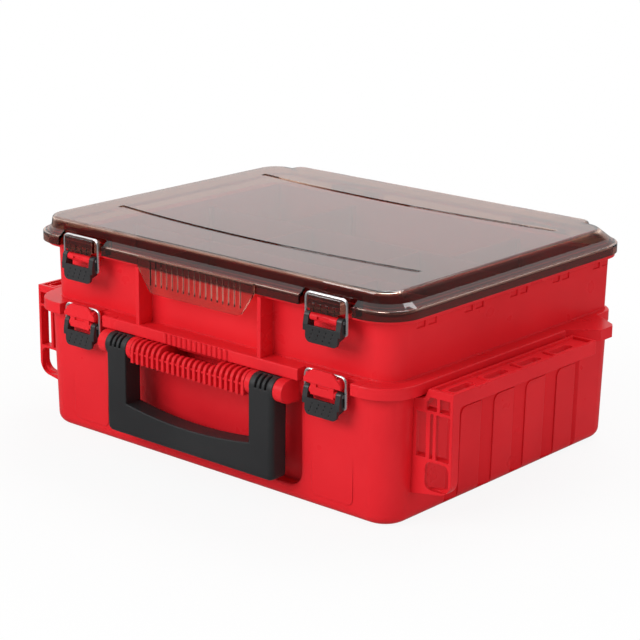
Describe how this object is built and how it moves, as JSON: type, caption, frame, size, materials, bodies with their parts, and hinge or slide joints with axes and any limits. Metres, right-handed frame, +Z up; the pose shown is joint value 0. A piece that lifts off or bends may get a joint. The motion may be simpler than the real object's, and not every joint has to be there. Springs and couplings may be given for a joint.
{
  "type": "fishing tackle cabinet",
  "caption": "Portable two-storey tackle case: deep bin, hinged divided tray, clear smoke lid, wire draw latches, side racks and a swing handle.",
  "frame": {"origin": "middle of the flat underside of the bin", "axes": "+X to the right seen from the front, -Y out of the front, +Z up"},
  "size_m": [0.4832, 0.3627, 0.1956],
  "materials": {
    "bin_plastic": "satin red polypropylene",
    "tray_plastic": "satin red polypropylene",
    "rack_plastic": "satin red polypropylene",
    "lid_plastic": "clear smoke-tinted plastic",
    "handle_plastic": "fine matt texture",
    "lever_plastic": "satin black",
    "divider_plastic": "satin",
    "bail_wire": "bright plated wire",
    "steel_pin": "plain steel"
  },
  "bodies": {
    "case": {"lower_bin": "bin_plastic", "rack_right": "rack_plastic", "rack_left": "rack_plastic", "handle_pin_left": "steel_pin", "handle_pin_right": "steel_pin", "tray_hinge_pin_left": "steel_pin", "tray_hinge_pin_right": "steel_pin", "tray_lever_pin_left": "steel_pin", "tray_lever_pin_right": "steel_pin"},
    "tray": {"upper_tray": "tray_plastic", "lid_hinge_pin_left": "steel_pin", "lid_hinge_pin_right": "steel_pin", "lid_lever_pin_left": "steel_pin", "lid_lever_pin_right": "steel_pin", "tray_divider_long_front": "divider_plastic", "tray_divider_long_rear": "divider_plastic", "tray_divider_cross_1": "divider_plastic", "tray_divider_cross_2": "divider_plastic", "tray_divider_cross_3": "divider_plastic", "tray_divider_cross_4": "divider_plastic", "tray_divider_cross_5": "divider_plastic", "tray_divider_cross_6": "divider_plastic"},
    "lid": {"lid": "lid_plastic"},
    "handle": {"carry_handle": "handle_plastic"},
    "lid_lever_left": {"lid_lever_left": "lever_plastic"},
    "lid_bail_left": {"lid_bail_left": "bail_wire"},
    "tray_lever_left": {"tray_lever_left": "lever_plastic"},
    "tray_bail_left": {"tray_bail_left": "bail_wire"},
    "lid_lever_right": {"lid_lever_right": "lever_plastic"},
    "lid_bail_right": {"lid_bail_right": "bail_wire"},
    "tray_lever_right": {"tray_lever_right": "lever_plastic"},
    "tray_bail_right": {"tray_bail_right": "bail_wire"}
  },
  "joints": [
    {"name": "tray_hinge", "type": "hinge", "parent": "case", "child": "tray", "pos_m": [0, 0.172, 0.11], "axis": [-1, 0, 0], "range_deg": [0, 90]},
    {"name": "lid_hinge", "type": "hinge", "parent": "tray", "child": "lid", "pos_m": [0, 0.174, 0.177], "axis": [-1, 0, 0], "range_deg": [0, 95]},
    {"name": "handle_swing", "type": "hinge", "parent": "case", "child": "handle", "pos_m": [0, -0.1735, 0.0994], "axis": [-1, 0, 0], "range_deg": [0, 95]},
    {"name": "lid_lever_left_turn", "type": "hinge", "parent": "tray", "child": "lid_lever_left", "pos_m": [-0.1415, -0.1695, 0.1669], "axis": [-1, 0, 0], "range_deg": [0, 100]},
    {"name": "lid_bail_left_turn", "type": "hinge", "parent": "lid_lever_left", "child": "lid_bail_left", "pos_m": [-0.1415, -0.1685, 0.1569], "axis": [-1, 0, 0], "range_deg": [-67, 0]},
    {"name": "tray_lever_left_turn", "type": "hinge", "parent": "case", "child": "tray_lever_left", "pos_m": [-0.1415, -0.1695, 0.1064], "axis": [-1, 0, 0], "range_deg": [0, 100]},
    {"name": "tray_bail_left_turn", "type": "hinge", "parent": "tray_lever_left", "child": "tray_bail_left", "pos_m": [-0.1415, -0.1685, 0.0964], "axis": [-1, 0, 0], "range_deg": [-67, 0]},
    {"name": "lid_lever_right_turn", "type": "hinge", "parent": "tray", "child": "lid_lever_right", "pos_m": [0.1415, -0.1695, 0.1669], "axis": [-1, 0, 0], "range_deg": [0, 100]},
    {"name": "lid_bail_right_turn", "type": "hinge", "parent": "lid_lever_right", "child": "lid_bail_right", "pos_m": [0.1415, -0.1685, 0.1569], "axis": [-1, 0, 0], "range_deg": [-67, 0]},
    {"name": "tray_lever_right_turn", "type": "hinge", "parent": "case", "child": "tray_lever_right", "pos_m": [0.1415, -0.1695, 0.1064], "axis": [-1, 0, 0], "range_deg": [0, 100]},
    {"name": "tray_bail_right_turn", "type": "hinge", "parent": "tray_lever_right", "child": "tray_bail_right", "pos_m": [0.1415, -0.1685, 0.0964], "axis": [-1, 0, 0], "range_deg": [-67, 0]}
  ],
  "couplings": [
    {"joint": "lid_bail_left_turn", "follows": "lid_lever_left_turn", "ratio": -0.67},
    {"joint": "tray_bail_left_turn", "follows": "tray_lever_left_turn", "ratio": -0.67},
    {"joint": "lid_bail_right_turn", "follows": "lid_lever_right_turn", "ratio": -0.67},
    {"joint": "tray_bail_right_turn", "follows": "tray_lever_right_turn", "ratio": -0.67}
  ]
}
